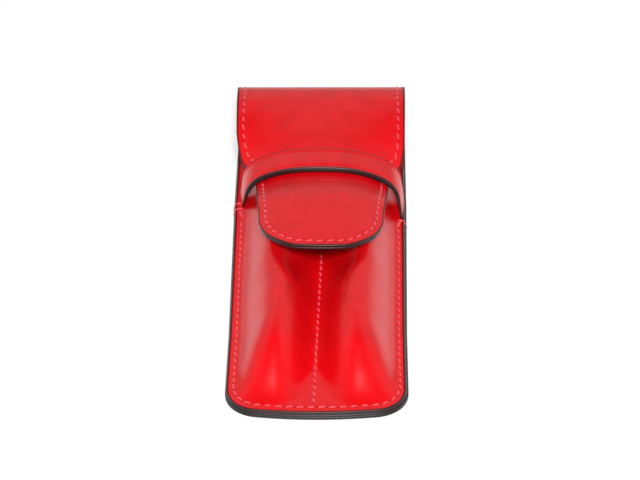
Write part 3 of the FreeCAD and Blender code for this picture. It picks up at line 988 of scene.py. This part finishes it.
def clear_of(rows, low, high, far):
    """Leaves out the stitches that lie under the strap's feet."""
    out = []
    for points, normals in rows:
        start = 0
        for k in range(len(points)):
            y = points[k][1] - to_y(0)
            blocked = low < y < high and abs(points[k][0]) > far
            if blocked or k == len(points) - 1:
                stop = k if blocked else k + 1
                if stop - start > 1:
                    out.append((points[start:stop], normals[start:stop]))
                start = k + 1
    return out


def wrap(side, y):
    """Thread passed over the edge where a foot of the strap is sewn down."""
    lean = LEAN_LEFT if side < 0 else LEAN_RIGHT
    points = [(27.2, 2.9, 0), (27.7, 3.42, 0.1), (28.8, 3.45, 0.3), (30.0 - lean, 3.4, 0.5),
              (30.5 - lean, 2.9, 0.6), (30.55 - lean / 2, 1.6, 0.7), (30.3, 0.45, 0.8)]
    return np.array([(side * x, to_y(y - dy), z) for x, z, dy in points]), 0.24


def foot_stitch(side, y):
    """Thick stitch that ends the seam below a foot of the strap."""
    points = [(28.3, 2.9, 1.6), (28.1, 3.45, 1.1), (27.8, 3.6, 0), (27.4, 3.45, -1.1),
              (27.2, 2.9, -1.6)]
    return np.array([(side * x, to_y(y + dy), z) for x, z, dy in points]), 0.36


tacks = [wrap(-1, 117.6), wrap(-1, 121.0), wrap(1, 110.6)]
tacks += [foot_stitch(-1, 114.2), foot_stitch(1, 108.6)]
open_rows = clear_of(front_seam, 112.5, 128.5, 25)
front_thread = stitch_rows("front_seam_thread", open_rows + middle_seam, sunk=0.08, extra=tacks)
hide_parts("perimeter_thread_front", "center_thread_front")
back_thread = stitch_rows("back_seam_thread", back_seam, sunk=0.38)
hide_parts("perimeter_thread_back", "center_thread_back")
lower_thread = stitch_rows("lower_fold_thread", lower_fold_seam + lower_inner_seam, sunk=0.10)
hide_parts("side_thread_inner", "fold_thread_outer", "fold_thread_inner")
upper_rows = upper_fold_seam + upper_inner_seam + flap_seam + flap_inner_seam
upper_thread = stitch_rows("flap_seam_thread", upper_rows, sunk=0.10)
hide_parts("flap_thread_outer", "flap_thread_inner")


# ---------------------------------------------------------------- bodies

# The strip's halves meet at the fold's crest; their placement is baked into their meshes.
for piece in (back, back_liner, lower_thread):
    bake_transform(piece)
for piece in (flap, flap_liner, upper_thread):
    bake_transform(piece)
for piece in (front, front_liner, front_thread, back_thread):
    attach(piece, "case")
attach(band, "case")
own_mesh(band)


# ---------------------------------------------------------------- floor and light

def add_floor(half, z):
    """Plain pale floor, a hair below the case."""
    mesh = bpy.data.meshes.new("floor")
    corners = [(x * half, y * half, z) for x, y in ((-1, -1), (1, -1), (1, 1), (-1, 1))]
    mesh.from_pydata(corners, [], [[0, 1, 2, 3]])
    floor = bpy.data.objects.new("floor", mesh)
    bpy.context.scene.collection.objects.link(floor)
    m = Nodes("floor_white")
    m.set(Base_Color=(0.62, 0.62, 0.62, 1), Roughness=0.8, Specular_IOR_Level=0.1)
    m.set(Emission_Color=(1, 1, 1, 1), Emission_Strength=0.50)
    mesh.materials.append(m.material)


def add_area(name, place, target, size, power):
    data = bpy.data.lights.new(name, "AREA")
    data.shape = "RECTANGLE"
    data.size, data.size_y = size
    data.energy = power
    light = bpy.data.objects.new(name, data)
    light.location = place
    light.rotation_mode = "QUATERNION"
    light.rotation_quaternion = (Vector(target) - Vector(place)).to_track_quat("-Z", "Y")
    bpy.context.scene.collection.objects.link(light)


def add_world(stops, front):
    """Studio walls: brightness by the sine of the height above the horizon, dimmer in front."""
    world = bpy.data.worlds.new("studio")
    world.use_nodes = True
    tree = world.node_tree
    place = tree.nodes.new("ShaderNodeTexCoord")
    split = tree.nodes.new("ShaderNodeSeparateXYZ")
    ramp = tree.nodes.new("ShaderNodeValToRGB")
    toward = tree.nodes.new("ShaderNodeMapRange")
    toward.inputs["From Min"].default_value = -0.5
    toward.inputs["From Max"].default_value = 0.3
    toward.inputs["To Min"].default_value = front
    background = tree.nodes["Background"]
    tree.links.new(place.outputs["Generated"], split.inputs[0])
    tree.links.new(split.outputs["Z"], ramp.inputs["Fac"])
    tree.links.new(split.outputs["Y"], toward.inputs["Value"])
    tree.links.new(ramp.outputs["Color"], background.inputs["Color"])
    tree.links.new(toward.outputs[0], background.inputs["Strength"])
    ramp.color_ramp.elements.remove(ramp.color_ramp.elements[0])
    for i, (height, level) in enumerate(stops):
        element = ramp.color_ramp.elements[0] if i == 0 else ramp.color_ramp.elements.new(height)
        element.position = height
        element.color = (level, level, level, 1)
    bpy.context.scene.world = world


add_floor(half=4.0, z=-5e-5)
WALLS = [(0.0, 0.42), (0.25, 0.48), (0.5, 0.68), (0.68, 0.68), (0.77, 0.5), (0.86, 0.18),
         (0.93, 0.10)]
add_world(WALLS, front=0.22)
add_area("front_softbox", place=(0.06, -1.41, 1.27), target=(0, 0, 0), size=(0.3, 0.3), power=36.5)
bpy.context.scene.view_settings.view_transform = "Standard"
